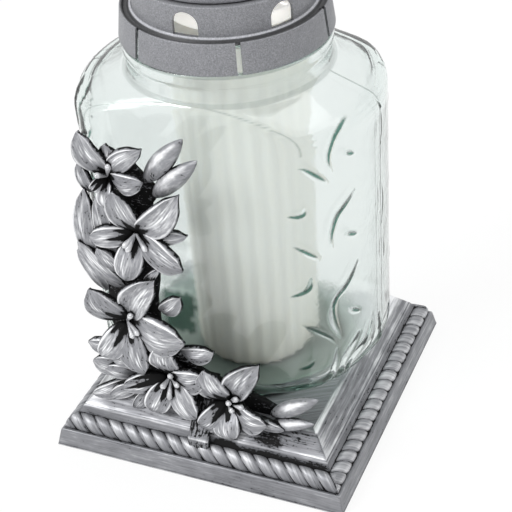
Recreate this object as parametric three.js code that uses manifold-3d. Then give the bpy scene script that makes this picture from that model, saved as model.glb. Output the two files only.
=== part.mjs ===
// Grave lantern: a clear glass jar on a square moulded plinth, with a lily garland clipped to its front,
// a lift-off vented cap and a candle refill inside. Millimetres, +Z up, front towards -Y.
import * as THREE from 'three'
import { mergeVertices } from 'three/addons/utils/BufferGeometryUtils.js'
import Module from 'manifold-3d'

const wasm = await Module()
wasm.setup()

// Gap between pieces that rest on or fit into each other
const clearance = 0.3

// Plinth
const rimHalf = 70
const rimDraft = 2
const rimHeight = 9
const rimLand = 1.2
const ropeWidth = 5.8
const ropeHeight = 7
const ropeBead = 1.7
const strandPitch = 7.37
const strandSlant = 10
const shoulderInset = 2.1
const shoulderRise = 3.4
const platformHalf = 53
const platformHeight = 28
const plinthWall = 2.4
const ribThickness = 2
const ribDepth = 5
const strandSides = 6
const ropeStart = -14
const ropeSweep = 116

// Jar
const jarRadius = 67
const jarFlatHalf = 45
const jarHeelRadius = 42.5
const jarHeelSpread = 6
const jarPushUp = 1.2
const jarCornerRound = 5.7
const jarWallStart = 20
const jarShoulderDrop = 7
const jarShoulderHeight = 14.5
const jarNeckRadius = 44
const jarBeadHeight = 14
const jarBeadStart = 8
const jarFinishRadius = 42.7
const jarFinishHeight = 25
const jarMouthRadius = 39.6
const glassWall = 4
const glassFloor = 5
const jarRimRound = 0.8
const jarRidge = 0.6
const jarSides = 40

// Garland
const garlandScale = 1
const garlandGap = 1.3
const plateThickness = 2.6
const faceDepth = 8
const petalThickness = 1.5
const petalRise = 5
const leafRise = 2
const petalArc = 2.35
const petalFullness = 0.8
const throatDepth = 4
const stalkRadius = 6
const stalkSides = 5
const budSides = 6
const pearlRadius = 1.8
const pearlSpread = 2.6
const tabWidth = 10
const tabThickness = 3
const tabEnd = 10
const tabSlot = 2
const armReach = 16
const armKnee = 4

// Cap
const skirtRadius = 45.56
const skirtTopRadius = 43.9
const skirtLength = 11.2
const skirtWall = 1.1
const ledgeThickness = 2.3
const drumRadius = 39.05
const drumHeight = 13.2
const drumWall = 1.6
const capEdge = 0.5
const capSides = 48
const springSlots = 6
const slotWidth = 2.1
const windowWidth = 11
const windowHeight = 10.5
const seatRingRadius = 33
const roofRadius = 36.2
const tierHeight = 5.4
const domeRadius = 33.6
const domeHeight = 17
const roofWall = 1.8
const knobRadius = 6.2
const knobNeck = 4.2
const knobLift = 2.5
const spigotDepth = 3
const roofSides = 32

// Refill
const refillOffset = [4, 2]
const refillHeight = 180
const refillProud = 5.8
const refillTopRadius = 30.4
const refillBaseRadius = 27.5
const refillWall = 0.9
const fluteCount = 24
const fluteDepth = 0.7
const lidWall = 0.8
const lidSkirt = 5
const lidMouthRadius = 13
const lidRibs = 16
const lidRibWidth = 1.2
const lidRibHeight = 0.7
const lidLip = 1.4
const cupFoot = 2.5
const fluteFade = 4
const waxHeight = 150
const wickRadius = 1.2
const wickProud = 8
const sustainerRadius = 8
const sustainerThickness = 0.5
const sustainerTube = 5

// Heights that follow from the sizes above
const stepHalf = rimHalf - rimLand - ropeWidth
const stepFoot = rimHeight + ropeHeight
const shoulderHalf = stepHalf - shoulderInset
const shoulderHeight = stepFoot + shoulderRise
const strandCount = Math.floor((2 * rimHalf) / strandPitch)
const jarFoot = platformHeight + clearance
const refillFloor = jarFoot + glassFloor + clearance
const jarRim = refillFloor + refillHeight - refillProud
const neckRoot = jarRim - jarFinishHeight
const wallStart = jarFoot + jarWallStart
const wallEnd = neckRoot - jarShoulderHeight
const capSeat = jarRim + clearance
const ledgeTop = capSeat + ledgeThickness
const drumTop = ledgeTop + drumHeight

// A closed mesh with shared corners, no faces without area, and its faces turned outwards
function weld(geometry) {
  const bare = new THREE.BufferGeometry()
  bare.setAttribute('position', geometry.getAttribute('position').clone())
  if (geometry.index) bare.setIndex(geometry.index.clone())
  const merged = mergeVertices(bare, 1e-3)
  const index = merged.index.array
  const faces = []
  for (let i = 0; i < index.length; i += 3) {
    const [a, b, c] = index.slice(i, i + 3)
    if (a !== b && b !== c && c !== a) faces.push(a, b, c)
  }
  const corner = (i) => new THREE.Vector3().fromBufferAttribute(merged.attributes.position, i)
  let volume = 0
  for (let i = 0; i < faces.length; i += 3) {
    volume += corner(faces[i]).dot(corner(faces[i + 1]).cross(corner(faces[i + 2])))
  }
  merged.setIndex(volume < 0 ? faces.reverse() : faces)
  return merged
}

function solid(geometry) {
  const closed = weld(geometry)
  return new wasm.Manifold(new wasm.Mesh({
    numProp: 3,
    vertProperties: Float32Array.from(closed.attributes.position.array),
    triVerts: Uint32Array.from(closed.index.array),
  }))
}

function fromSolid(body) {
  const mesh = body.getMesh()
  const geometry = new THREE.BufferGeometry()
  geometry.setAttribute('position', new THREE.BufferAttribute(mesh.vertProperties, 3))
  geometry.setIndex(Array.from(mesh.triVerts))
  return weld(geometry)
}

const unite = (bodies) => bodies.reduce((sum, body) => sum.add(body))

// Skin over rings of points, closed by a fan from a point at each end
function loft(rings, first, last) {
  const count = rings[0].length
  const points = [first, ...rings.flat(), last]
  const faces = []
  for (let k = 0; k < count; k++) {
    const next = (k + 1) % count
    faces.push(0, 1 + next, 1 + k)
    for (let r = 0; r + 1 < rings.length; r++) {
      const a = 1 + r * count + k
      const b = 1 + r * count + next
      faces.push(a, b, b + count, a, b + count, a + count)
    }
    const top = 1 + (rings.length - 1) * count
    faces.push(points.length - 1, top + k, top + next)
  }
  const geometry = new THREE.BufferGeometry().setFromPoints(points)
  geometry.setIndex(faces)
  return geometry
}

// Revolve of [radius, height] points about Z
function turned(profile, sides = 48) {
  const points = profile.map(([radius, height]) => new THREE.Vector2(radius, height))
  return new THREE.LatheGeometry(points, sides).rotateX(Math.PI / 2)
}

// Mitred square built up from [half side, height] points
function squareLoft(profile) {
  const rings = profile.map(([half, z]) =>
    [[-1, -1], [1, -1], [1, 1], [-1, 1]].map(([x, y]) => new THREE.Vector3(x * half, y * half, z)))
  const bottom = new THREE.Vector3(0, 0, profile[0][1])
  return loft(rings, bottom, new THREE.Vector3(0, 0, profile.at(-1)[1]))
}

function box(low, high) {
  const size = high.map((value, i) => value - low[i])
  const middle = high.map((value, i) => (value + low[i]) / 2)
  return new THREE.BoxGeometry(...size).translate(...middle)
}

// Outline in X and Z, given thickness from depth `from` towards the front
function frontPlate(shape, from, thickness, curveSegments = 3) {
  const flat = new THREE.ExtrudeGeometry(shape, { depth: thickness, bevelEnabled: false, curveSegments })
  return flat.rotateX(Math.PI / 2).translate(0, from, 0)
}

// One slanted strand of the rope moulding along the front, its crest on a quarter round
function ropeStrand(middle) {
  const half = strandPitch * 0.49
  const rings = [0.15, 0.5, 0.85].map((share) => {
    const swell = Math.sqrt(Math.sin(Math.PI * share))
    return Array.from({ length: strandSides }, (_, corner) => {
      const turn = (corner * 2 * Math.PI) / strandSides
      return ropePoint(middle, share, ropeBead * swell * Math.sin(turn), half * swell * Math.cos(turn))
    })
  })
  return loft(rings, ropePoint(middle, 0, 0, 0), ropePoint(middle, 1, 0, 0))
}

function ropePoint(middle, share, lift, along) {
  const angle = THREE.MathUtils.degToRad(ropeStart + ropeSweep * share)
  const out = stepHalf + (ropeWidth - ropeBead + lift) * Math.cos(angle)
  const up = rimHeight + (ropeHeight - ropeBead + lift) * Math.sin(angle)
  return new THREE.Vector3(middle + strandSlant * (0.5 - share) + along, -out, up)
}

// Rope along one side, cut to the mitres of the frame
function ropeSide() {
  const strands = Array.from({ length: strandCount }, (_, i) =>
    solid(ropeStrand((i - (strandCount - 1) / 2) * strandPitch)))
  const far = rimHalf + rimDraft
  const mitre = new THREE.Shape([[0, 0], [far, -far], [-far, -far]].map(([x, y]) => new THREE.Vector2(x, y)))
  const wedge = new THREE.ExtrudeGeometry(mitre, { depth: shoulderHeight, bevelEnabled: false })
  return unite(strands).intersect(solid(wedge))
}

// Space that the clip tab of the garland takes out of the rope moulding
function tabNotch() {
  const depth = stepHalf + clearance + tabThickness + clearance
  return box([-tabWidth / 2 - clearance, -depth, tabEnd - clearance],
    [tabWidth / 2 + tabSlot, -stepHalf, stepFoot + 1])
}

function plinth() {
  const under = ropeBead * 0.75
  const outside = [
    [rimHalf + rimDraft, 0],
    [rimHalf, rimHeight],
    [stepHalf + ropeWidth - under, rimHeight],
    [stepHalf + (ropeWidth - under) * 0.8, rimHeight + (ropeHeight - under) * 0.6],
    [stepHalf + (ropeWidth - under) * 0.4, stepFoot - under - 0.5],
    [stepHalf, stepFoot - under],
    [stepHalf, stepFoot],
    [shoulderHalf, shoulderHeight],
    [platformHalf, platformHeight],
  ]
  const inside = [
    [rimHalf + rimDraft - plinthWall, -1],
    [rimHalf - plinthWall, rimHeight - plinthWall],
    [stepHalf - plinthWall, rimHeight - plinthWall],
    [stepHalf - plinthWall, stepFoot - plinthWall],
    [shoulderHalf - plinthWall, shoulderHeight - plinthWall],
    [platformHalf - plinthWall, platformHeight - plinthWall],
  ]
  const roof = platformHeight - plinthWall
  const across = box([-stepHalf, -ribThickness / 2, roof - ribDepth], [stepHalf, ribThickness / 2, platformHeight])
  const ribs = solid(across).add(solid(across.clone().rotateZ(Math.PI / 2)))
  const hollow = solid(squareLoft(inside)).subtract(ribs)
  const side = ropeSide()
  const sides = [0, 90, 180, 270].map((degrees) => side.rotate([0, 0, degrees]))
  const shell = solid(squareLoft(outside)).add(unite(sides))
  return fromSolid(shell.subtract(hollow).subtract(solid(tabNotch())))
}

// Outside of the jar as [radius, height] points from the foot to the neck, without its finish
function jarBody() {
  const lip = jarWallStart / 4
  return [
    [jarHeelRadius, jarFoot],
    [jarHeelRadius + jarHeelSpread, jarFoot + lip],
    [jarRadius - jarCornerRound, jarFoot + 2.7 * lip],
    [jarRadius - 1.2, jarFoot + 3.5 * lip],
    [jarRadius, wallStart],
    [jarRadius, wallEnd],
    [jarRadius - 0.8, wallEnd + jarShoulderDrop * 0.45],
    [jarRadius - 2.8, wallEnd + jarShoulderDrop * 0.82],
    [jarRadius - jarCornerRound, wallEnd + jarShoulderDrop + 0.6],
    [jarNeckRadius + 1, neckRoot - 0.7],
  ]
}

function jar() {
  const bead = jarFlatHalf - 0.2
  const beadFoot = neckRoot + jarBeadStart
  const outside = [
    [0, jarFoot + jarPushUp],
    [jarHeelRadius - jarHeelSpread, jarFoot + jarPushUp],
    [jarHeelRadius - 4, jarFoot],
    ...jarBody(),
    [jarNeckRadius, neckRoot + 0.6],
    [jarNeckRadius, beadFoot - 1],
    [bead, beadFoot],
    [bead, neckRoot + jarBeadHeight - 1],
    [jarFinishRadius, neckRoot + jarBeadHeight - 0.4],
    [jarFinishRadius, jarRim - jarRimRound],
    [jarFinishRadius - jarRimRound, jarRim],
    [0, jarRim],
  ]
  const inside = [
    [0, jarFoot + glassFloor],
    [jarHeelRadius - 2, jarFoot + glassFloor],
    [jarHeelRadius + 4, jarFoot + glassFloor + 2.4],
    [jarRadius - glassWall - 3, wallStart - 2.6],
    [jarRadius - glassWall, wallStart + 2],
    [jarRadius - glassWall, wallEnd - 2],
    [jarRadius - glassWall - 1.4, wallEnd + jarShoulderDrop * 0.3],
    [jarRadius - glassWall - 5, wallEnd + jarShoulderDrop * 0.75],
    [jarMouthRadius, neckRoot - glassWall * 0.4],
    [jarMouthRadius, jarRim - jarRimRound],
    [jarMouthRadius + jarRimRound, jarRim + 0.01],
    [jarMouthRadius + jarRimRound, jarRim + 1],
    [0, jarRim + 1],
  ]
  const slab = (half) => solid(box([-2 * jarRadius, -half, -1], [2 * jarRadius, half, jarRim + 2]))
  const outer = solid(turned(outside, jarSides)).add(solid(sideRidge()))
  const inner = solid(turned(inside, jarSides)).intersect(slab(jarFlatHalf - glassWall))
  return fromSolid(outer.intersect(slab(jarFlatHalf)).subtract(inner))
}

// Mould seam that stands as a soft ridge on both sides of the jar
function sideRidge() {
  const seam = jarBody().map(([radius, z]) => {
    const rise = THREE.MathUtils.clamp((z - wallStart) / jarWallStart, -0.4, 1)
    return [(radius + jarRidge * rise) / Math.SQRT2, z]
  })
  return squareLoft(seam).rotateZ(Math.PI / 4)
}

// Drawing of the garland: places are [x, height above the platform]
const flowers = [
  { throat: [-32, 124], petals: [[-43.5, 143.5, 5.6], [-31, 137, 4.5], [-15, 139.5, 5], [-16.5, 123, 5.2],
    [-34.5, 108.5, 3.4], [-45.5, 129, 3.4]] },
  { throat: [-22.5, 97.5], petals: [[-31.5, 117.5, 6.2], [0, 120.5, 6.6], [-1, 81, 7.2], [-31, 69.5, 6.8],
    [-45.5, 91.5, 5.4]] },
  { throat: [-32, 47], petals: [[-47.5, 64.5, 7.2], [-16.5, 72, 7.2], [-6.5, 36.5, 7.8], [-27.5, 18.5, 6.4],
    [-55, 31, 5.4], [-46, 23.5, 5]] },
  { throat: [-14.5, 18], petals: [[-15, 35.5, 6.8], [3.5, 27, 6.2], [-2.5, -3, 6.6], [-25, -3.5, 6.8],
    [-41.5, 11.5, 4.8], [-36, -1, 4.6]] },
  { throat: [16, 11], petals: [[3, 28.5, 6.4], [30, 37.5, 6.6], [35, 4, 5.6], [14.5, -10, 6.4], [-1, -7.5, 6.4]] },
]

// Leaves that stand out past the flowers: root, tip and half width
const leaves = [
  [[-40, 114], [-51.5, 84], 5.8],
  [[-49.5, 89], [-30, 69.5], 5.8],
  [[-40, 66], [-53.5, 82.5], 4.8],
  [[-12.5, 96], [1.5, 101], 4.4],
  [[-16.5, 55.5], [-3, 68.5], 3.2],
  [[-9, 29], [9, 39], 5],
  [[-39, 22], [-54, 23], 4.8],
  [[-36.5, 17.5], [-52, 9], 5.2],
  [[-35.5, 8], [-46.5, -2], 5.2],
]

// Closed buds: stalk end, tip and half width
const buds = [
  [[-19, 121], [4, 148.5], 5.4],
  [[-15, 115.5], [10, 139], 5.1],
  [[30, 4], [57.5, 26], 4.2],
  [[28, 0], [56, 12], 3.4],
]

// Outline of the plate behind the flowers
const plateOutline = [
  [-17, 124], [-10, 117], [-15, 101], [-15, 82], [-21, 73], [-20, 62], [-17, 50], [-14, 40], [-9, 31],
  [2, 28], [14, 22], [22, 15], [38, 12], [38, 2], [-38, 1], [-46, 16], [-44, 34], [-44, 58], [-42, 68],
  [-34, 78], [-34, 92], [-30, 102], [-38, 108], [-42, 118], [-40, 129], [-28, 130],
]

const plateBack = -jarFlatHalf - garlandGap
const plateFront = plateBack - plateThickness
const faceY = plateFront - faceDepth

// Place of a point of the drawing, in X and Z
const drawn = ([x, height]) => [x * garlandScale, platformHeight + height * garlandScale]

// Lily petal or leaf: a pointed blade with raised edges, arched from throat to tip
function blade(root, tip, halfWidth, rise, throat) {
  const along = new THREE.Vector2(tip[0] - root[0], tip[1] - root[1])
  const across = new THREE.Vector2(-along.y, along.x).normalize()
  const place = (share, side, lift) => {
    const x = root[0] + along.x * share + across.x * side
    const z = root[1] + along.y * share + across.y * side
    const arch = rise * Math.sin(petalArc * share) - throat * (1 - share) ** 2
    return new THREE.Vector3(x, faceY - arch - lift, z)
  }
  const section = [[-1, 0.6], [-0.55, 0], [0, 0.9], [0.55, 0], [1, 0.6], [0, -petalThickness]]
  const rings = [0.12, 0.36, 0.64, 0.87].map((share) => {
    const spread = halfWidth * Math.sin(Math.PI * share ** petalFullness) ** 0.66
    return section.map(([side, lift]) => place(share, side * spread, lift))
  })
  return loft(rings, place(0, 0, -petalThickness / 2), place(1, 0, -petalThickness / 2))
}

// Closed bud: a spindle from the plate out to its tip
function bud([root, tip, width]) {
  const start = new THREE.Vector3(root[0], plateFront, root[1])
  const end = new THREE.Vector3(tip[0], faceY - leafRise, tip[1])
  const along = end.clone().sub(start)
  const across = new THREE.Vector3(-along.z, 0, along.x).normalize()
  const rings = [0.1, 0.32, 0.58, 0.8, 0.93].map((share) => {
    const swell = width * Math.sin(Math.PI * share ** 0.85) ** 0.7
    return Array.from({ length: budSides }, (_, corner) => {
      const turn = (corner * 2 * Math.PI) / budSides
      const point = start.clone().addScaledVector(along, share)
      point.addScaledVector(across, swell * Math.cos(turn))
      point.y -= swell * 0.8 * Math.sin(turn)
      return point
    })
  })
  return loft(rings, start, end)
}

// Stalk from the background plate up to the throat of a flower
function stalk([x, z], radius) {
  const length = faceDepth - throatDepth + 2
  const stem = new THREE.CylinderGeometry(radius * 0.8, radius, length, stalkSides)
  return stem.translate(x, plateFront - length / 2 + 1, z)
}

function stamens([x, z]) {
  return [90, 210, 330].map((degrees) => {
    const angle = THREE.MathUtils.degToRad(degrees)
    const pearl = new THREE.SphereGeometry(pearlRadius, 4, 3)
    return pearl.translate(x + pearlSpread * Math.cos(angle), faceY - 1, z + pearlSpread * Math.sin(angle))
  })
}

// Arm that carries the garland: it lies on the slope of the plinth and hooks over the step
function clipArm() {
  const slope = (shoulderHalf - platformHalf) / (platformHeight - shoulderHeight)
  const front = -stepHalf - clearance - tabThickness
  const off = clearance * 1.5
  const side = new THREE.Shape([
    [front, tabEnd], [front, shoulderHeight + armKnee], [plateFront - 2, platformHeight + armReach],
    [plateBack, platformHeight + armReach], [plateBack, platformHeight + clearance],
    [-platformHalf - off / 2, platformHeight + clearance],
    [-shoulderHalf - off - slope * 0.2, shoulderHeight + 0.2],
    [-stepHalf - clearance, stepFoot], [-stepHalf - clearance, tabEnd],
  ].map(([y, z]) => new THREE.Vector2(y, z)))
  const arm = new THREE.ExtrudeGeometry(side, { depth: tabWidth, bevelEnabled: false })
  const upright = new THREE.Matrix4().set(0, 0, 1, -tabWidth / 2, 1, 0, 0, 0, 0, 1, 0, 0, 0, 0, 0, 1)
  return arm.applyMatrix4(upright)
}

// Rounds the lower end of the clip tab
function tabEndMask() {
  const radius = tabWidth / 2
  const shape = new THREE.Shape()
  shape.moveTo(-radius, tabEnd + radius)
  shape.absarc(0, tabEnd + radius, radius, Math.PI, 2 * Math.PI)
  shape.lineTo(radius, platformHeight * 2)
  shape.lineTo(-radius, platformHeight * 2)
  return frontPlate(shape, 0, 2 * rimHalf, 6)
}

function garland() {
  const outline = new THREE.Shape(plateOutline.map((place) => new THREE.Vector2(...drawn(place))))
  const plate = frontPlate(outline, plateBack, plateThickness)
  const petals = flowers.flatMap(({ throat, petals: tips }) => tips.map(([x, height, width]) =>
    blade(drawn(throat), drawn([x, height]), width * garlandScale, petalRise, throatDepth)))
  const greens = leaves.map(([root, tip, width]) =>
    blade(drawn(root), drawn(tip), width * garlandScale, leafRise, faceDepth))
  const closed = buds.map(([root, tip, width]) => bud([drawn(root), drawn(tip), width * garlandScale]))
  const stems = flowers.map(({ throat }) => stalk(drawn(throat), stalkRadius))
  const pearls = flowers.flatMap(({ throat }) => stamens(drawn(throat)))
  const pieces = [plate, ...stems, ...petals, ...greens, ...closed, ...pearls].map(solid)
  const arm = solid(clipArm()).intersect(solid(tabEndMask()))
  const parts = unite([...pieces, arm]).subtract(solid(plinthTop())).decompose()
  return fromSolid(parts.reduce((whole, part) => (part.volume() > whole.volume() ? part : whole)))
}

// Slope and platform of the plinth, grown by the clearance, which the garland stands clear of
function plinthTop() {
  const out = clearance * 1.5
  return squareLoft([
    [stepHalf + out - clearance, stepFoot],
    [shoulderHalf + out, shoulderHeight],
    [platformHalf + out, platformHeight + clearance - 0.1],
    [platformHalf, platformHeight + clearance],
  ])
}

function capCollar() {
  const inner = drumRadius - drumWall
  const lean = (skirtRadius - skirtTopRadius) / (skirtLength + ledgeThickness)
  const skirtFoot = capSeat - skirtLength
  const atSeat = skirtRadius - lean * skirtLength
  const seatZ = drumTop - 1.6
  const section = [
    [skirtRadius - skirtWall, skirtFoot],
    [skirtRadius, skirtFoot],
    [skirtTopRadius, ledgeTop],
    [skirtTopRadius - 2, ledgeTop - 1.2],
    [drumRadius + 1.4, ledgeTop - 1.2],
    [drumRadius, ledgeTop + 0.2],
    [drumRadius, drumTop - capEdge],
    [drumRadius - capEdge, drumTop],
    [seatRingRadius, drumTop],
    [seatRingRadius, seatZ],
    [inner, seatZ],
    [inner, capSeat],
    [atSeat - skirtWall, capSeat],
    [skirtRadius - skirtWall, skirtFoot],
  ]
  const cuts = Array.from({ length: springSlots }, (_, i) => {
    const turn = (i * 2 * Math.PI) / springSlots
    const slot = box([skirtTopRadius - skirtWall - 1.5, -slotWidth / 2, skirtFoot - 1],
      [skirtRadius + 1, slotWidth / 2, ledgeTop + 1])
    return [slot.rotateZ(turn), capWindow().rotateZ(turn)]
  }).flat()
  return fromSolid(solid(turned(section, capSides)).subtract(unite(cuts.map(solid))))
}

// Arched opening through the front of the drum
function capWindow() {
  const half = windowWidth / 2
  const foot = ledgeTop + 0.2
  const arch = new THREE.Shape()
  arch.moveTo(-half, foot)
  arch.lineTo(half, foot)
  arch.lineTo(half, foot + windowHeight - half)
  arch.absarc(0, foot + windowHeight - half, half, 0, Math.PI)
  return frontPlate(arch, -drumRadius + 3 * drumWall, 6 * drumWall, 6)
}

function capRoof() {
  const seat = drumTop + clearance
  const tierTop = seat + tierHeight
  const spigot = seatRingRadius - clearance
  const crown = tierTop + domeHeight
  const arc = (count, radius, height, from) => Array.from({ length: count }, (_, i) => {
    const angle = ((i + 1) / (count + 1)) * (Math.PI / 2)
    return [radius * Math.cos(angle), from + height * Math.sin(angle)]
  })
  const knobFoot = crown + knobLift
  const ball = [-45, -10, 25, 60].map((degrees) => {
    const angle = THREE.MathUtils.degToRad(degrees)
    return [knobRadius * Math.cos(angle), knobFoot + knobRadius * (0.9 + Math.sin(angle))]
  })
  const outer = [
    [spigot, drumTop - spigotDepth],
    [spigot, seat],
    [roofRadius, seat],
    [roofRadius, seat + tierHeight - 1],
    [roofRadius - 0.9, tierTop],
    [domeRadius, tierTop],
    ...arc(6, domeRadius, domeHeight, tierTop).filter(([radius]) => radius > knobRadius + 3),
    [knobRadius + 2, crown - 0.4],
    [knobNeck, crown + 1],
    ...ball,
    [0, knobFoot + knobRadius * 1.9],
  ]
  const inner = [
    [0, crown - roofWall],
    ...arc(4, spigot - roofWall, domeHeight - roofWall, tierTop).reverse(),
    [spigot - roofWall, tierTop - 1],
    [spigot - roofWall, drumTop - spigotDepth],
  ]
  return weld(turned([...inner, ...outer], roofSides))
}

const refillRadius = (z) => THREE.MathUtils.lerp(refillBaseRadius, refillTopRadius, (z - refillFloor) / refillHeight)

// Fluted tapering cup, open at the top
function refillCup() {
  const rim = refillFloor + refillHeight
  const ring = (height, reach, depth) => Array.from({ length: 2 * fluteCount }, (_, i) => {
    const angle = (i * Math.PI) / fluteCount
    const radius = reach - (i % 2) * depth
    return new THREE.Vector3(radius * Math.cos(angle), radius * Math.sin(angle), refillFloor + height)
  })
  const neck = refillTopRadius - fluteDepth
  const fluteEnd = refillHeight - lidSkirt - fluteFade
  const rings = [
    ring(0, refillBaseRadius - 1.5, fluteDepth),
    ring(cupFoot, refillRadius(refillFloor + cupFoot), fluteDepth),
    ring(fluteEnd, refillRadius(refillFloor + fluteEnd), fluteDepth),
    ring(refillHeight - lidSkirt - 1, neck, 0),
    ring(refillHeight, neck, 0),
  ]
  const low = new THREE.Vector3(0, 0, refillFloor)
  const outside = solid(loft(rings, low, new THREE.Vector3(0, 0, rim)))
  const inside = solid(turned([
    [0, refillFloor + refillWall],
    [refillCavity(refillFloor) - 1.5, refillFloor + refillWall],
    [refillCavity(refillFloor + cupFoot), refillFloor + cupFoot],
    [refillCavity(rim), rim + 1],
    [0, rim + 1],
  ], 2 * fluteCount))
  return fromSolid(outside.subtract(inside))
}

const refillCavity = (z) => refillRadius(z) - fluteDepth - refillWall

function refillLid() {
  const rim = refillFloor + refillHeight
  const under = rim + clearance
  const inner = refillTopRadius - fluteDepth + clearance
  const top = under + lidWall
  const plate = solid(turned([
    [lidMouthRadius, under],
    [inner, under],
    [inner, rim - lidSkirt],
    [inner + lidWall, rim - lidSkirt],
    [inner + lidWall, top],
    [lidMouthRadius + 2, top],
    [lidMouthRadius + lidLip, top + lidLip],
    [lidMouthRadius, top + lidLip],
    [lidMouthRadius, under],
  ], roofSides))
  const ribs = Array.from({ length: lidRibs }, (_, i) => {
    const half = lidRibWidth / 2
    const rib = box([lidMouthRadius + 1, -half, top - 0.2], [inner - half, half, top + lidRibHeight])
    return solid(rib.rotateZ((i * 2 * Math.PI) / lidRibs))
  })
  return fromSolid(unite([plate, ...ribs]))
}

const waxFoot = refillFloor + refillWall + clearance

function refillWax() {
  const top = waxFoot + waxHeight
  const body = solid(turned([
    [0, waxFoot],
    [refillCavity(waxFoot) - 2.2, waxFoot],
    [refillCavity(waxFoot + 4) - clearance - 0.1, waxFoot + 4],
    [refillCavity(top) - clearance - 0.1, top],
    [0, top - 1],
  ], fluteCount))
  const pocket = sustainerRadius + clearance
  const sleeve = wickRadius + 2 * clearance + sustainerThickness
  const bore = solid(turned([
    [0, waxFoot - 1],
    [pocket, waxFoot - 1],
    [pocket, waxFoot + sustainerThickness + clearance],
    [sleeve, waxFoot + sustainerThickness + clearance],
    [sleeve, waxFoot + sustainerTube + 1],
    [wickRadius + clearance, waxFoot + sustainerTube + 1.5],
    [wickRadius + clearance, top + 1],
    [0, top + 1],
  ], 12))
  return fromSolid(body.subtract(bore))
}

// Tin disc with a short tube that grips the foot of the wick
function wickSustainer() {
  const bore = wickRadius + clearance
  return weld(turned([
    [0, waxFoot],
    [sustainerRadius, waxFoot],
    [sustainerRadius, waxFoot + sustainerThickness],
    [bore + sustainerThickness, waxFoot + sustainerThickness],
    [bore + sustainerThickness, waxFoot + sustainerTube],
    [bore, waxFoot + sustainerTube],
    [bore, waxFoot + sustainerThickness],
    [0, waxFoot + sustainerThickness],
  ], 12))
}

function refillWick() {
  const foot = waxFoot + sustainerThickness + clearance
  const length = waxFoot + waxHeight + wickProud - foot
  const strand = new THREE.CylinderGeometry(wickRadius, wickRadius, length, 8)
  return weld(strand.rotateX(Math.PI / 2).translate(0, 0, foot + length / 2))
}

function piece(name, geometry, look) {
  const mesh = new THREE.Mesh(geometry, new THREE.MeshStandardMaterial(look))
  mesh.name = name
  return mesh
}

const brushedSilver = { color: '#8d8f93', roughness: 0.45, metalness: 0.6 }
const clearGlass = { color: '#d9efe6', roughness: 0.05, metalness: 0, transparent: true, opacity: 0.35 }
const greyPlastic = { color: '#8c8d91', roughness: 0.5, metalness: 0.3 }
const milkyPlastic = { color: '#eeeeea', roughness: 0.4, metalness: 0 }
const paraffin = { color: '#f4f2ea', roughness: 0.5, metalness: 0 }
const cottonWick = { color: '#e8e4d8', roughness: 0.9, metalness: 0 }
const tinPlate = { color: '#c8c8c8', roughness: 0.35, metalness: 1 }

const lantern = new THREE.Group()
lantern.add(
  piece('base_plinth', plinth(), brushedSilver),
  piece('lily_garland', garland(), brushedSilver),
  piece('glass_jar', jar(), clearGlass),
  piece('cap_collar', capCollar(), greyPlastic),
  piece('cap_roof', capRoof(), greyPlastic),
)

const refill = new THREE.Group()
refill.position.set(...refillOffset, 0)
refill.add(
  piece('refill_cup', refillCup(), milkyPlastic),
  piece('refill_lid', refillLid(), milkyPlastic),
  piece('refill_wax', refillWax(), paraffin),
  piece('wick_sustainer', wickSustainer(), tinPlate),
  piece('refill_wick', refillWick(), cottonWick),
)
lantern.add(refill)

export default lantern
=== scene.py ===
# Looks of the glass grave lantern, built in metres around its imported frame
from functools import partial
from math import copysign, cos, dist, exp, pi, radians, sin, sqrt
import bpy
import bmesh
import numpy as np
from mathutils import Matrix, Vector


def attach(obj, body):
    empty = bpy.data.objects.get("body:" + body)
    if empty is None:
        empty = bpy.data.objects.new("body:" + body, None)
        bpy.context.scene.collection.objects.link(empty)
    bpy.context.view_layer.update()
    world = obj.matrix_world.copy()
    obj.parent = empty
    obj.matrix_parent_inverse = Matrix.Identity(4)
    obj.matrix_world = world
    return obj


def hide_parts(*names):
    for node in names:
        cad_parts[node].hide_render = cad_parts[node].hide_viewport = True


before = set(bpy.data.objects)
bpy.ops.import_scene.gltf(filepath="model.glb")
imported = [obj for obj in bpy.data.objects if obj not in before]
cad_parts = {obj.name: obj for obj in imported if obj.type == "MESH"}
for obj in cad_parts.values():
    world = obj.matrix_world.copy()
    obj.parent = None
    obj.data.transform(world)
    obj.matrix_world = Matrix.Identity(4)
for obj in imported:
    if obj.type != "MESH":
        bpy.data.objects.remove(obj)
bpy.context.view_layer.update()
mm = 0.001
print("frame loaded")


def addObject(name, data):
    item = bpy.data.objects.new(name, data)
    bpy.context.scene.collection.objects.link(item)
    return item


# Camera, fitted to the plinth's square and the cap's circles
cameraView = {
    "azimuth": 24.748,
    "elevation": 35.752,
    "roll": -4.157,
    "distance": 0.683,
    "target": (0.0056, 0.0, 0.0782),
    "lens": 103.42,
    "sensor": 36.0,
}


def makeCamera(view):
    az, el, roll = (radians(view[key]) for key in ("azimuth", "elevation", "roll"))
    back = Vector((sin(az) * cos(el), -cos(az) * cos(el), sin(el)))
    level = Vector((cos(az), sin(az), 0.0))
    upright = back.cross(level)
    right = level * cos(roll) + upright * sin(roll)
    up = upright * cos(roll) - level * sin(roll)
    place = Matrix((right, up, back)).transposed().to_4x4()
    place.translation = Vector(view["target"]) + back * view["distance"]
    data = bpy.data.cameras.new("camera")
    data.lens, data.sensor_width, data.clip_start = view["lens"], view["sensor"], 0.01
    camera = addObject("camera", data)
    camera.matrix_world = place
    bpy.context.scene.camera = camera


makeCamera(cameraView)
print("camera set")


# Materials

def hexColour(text):  # sRGB hex to linear
    parts = [int(text[i:i + 2], 16) / 255 for i in (1, 3, 5)]
    return tuple(c / 12.92 if c <= 0.04045 else ((c + 0.055) / 1.055) ** 2.4 for c in parts) + (1.0,)


def newMaterial(name):  # and what adds its nodes
    material = bpy.data.materials.new(name)
    material.use_nodes = True
    material.node_tree.nodes.clear()
    return material, partial(addNode, material)


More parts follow.
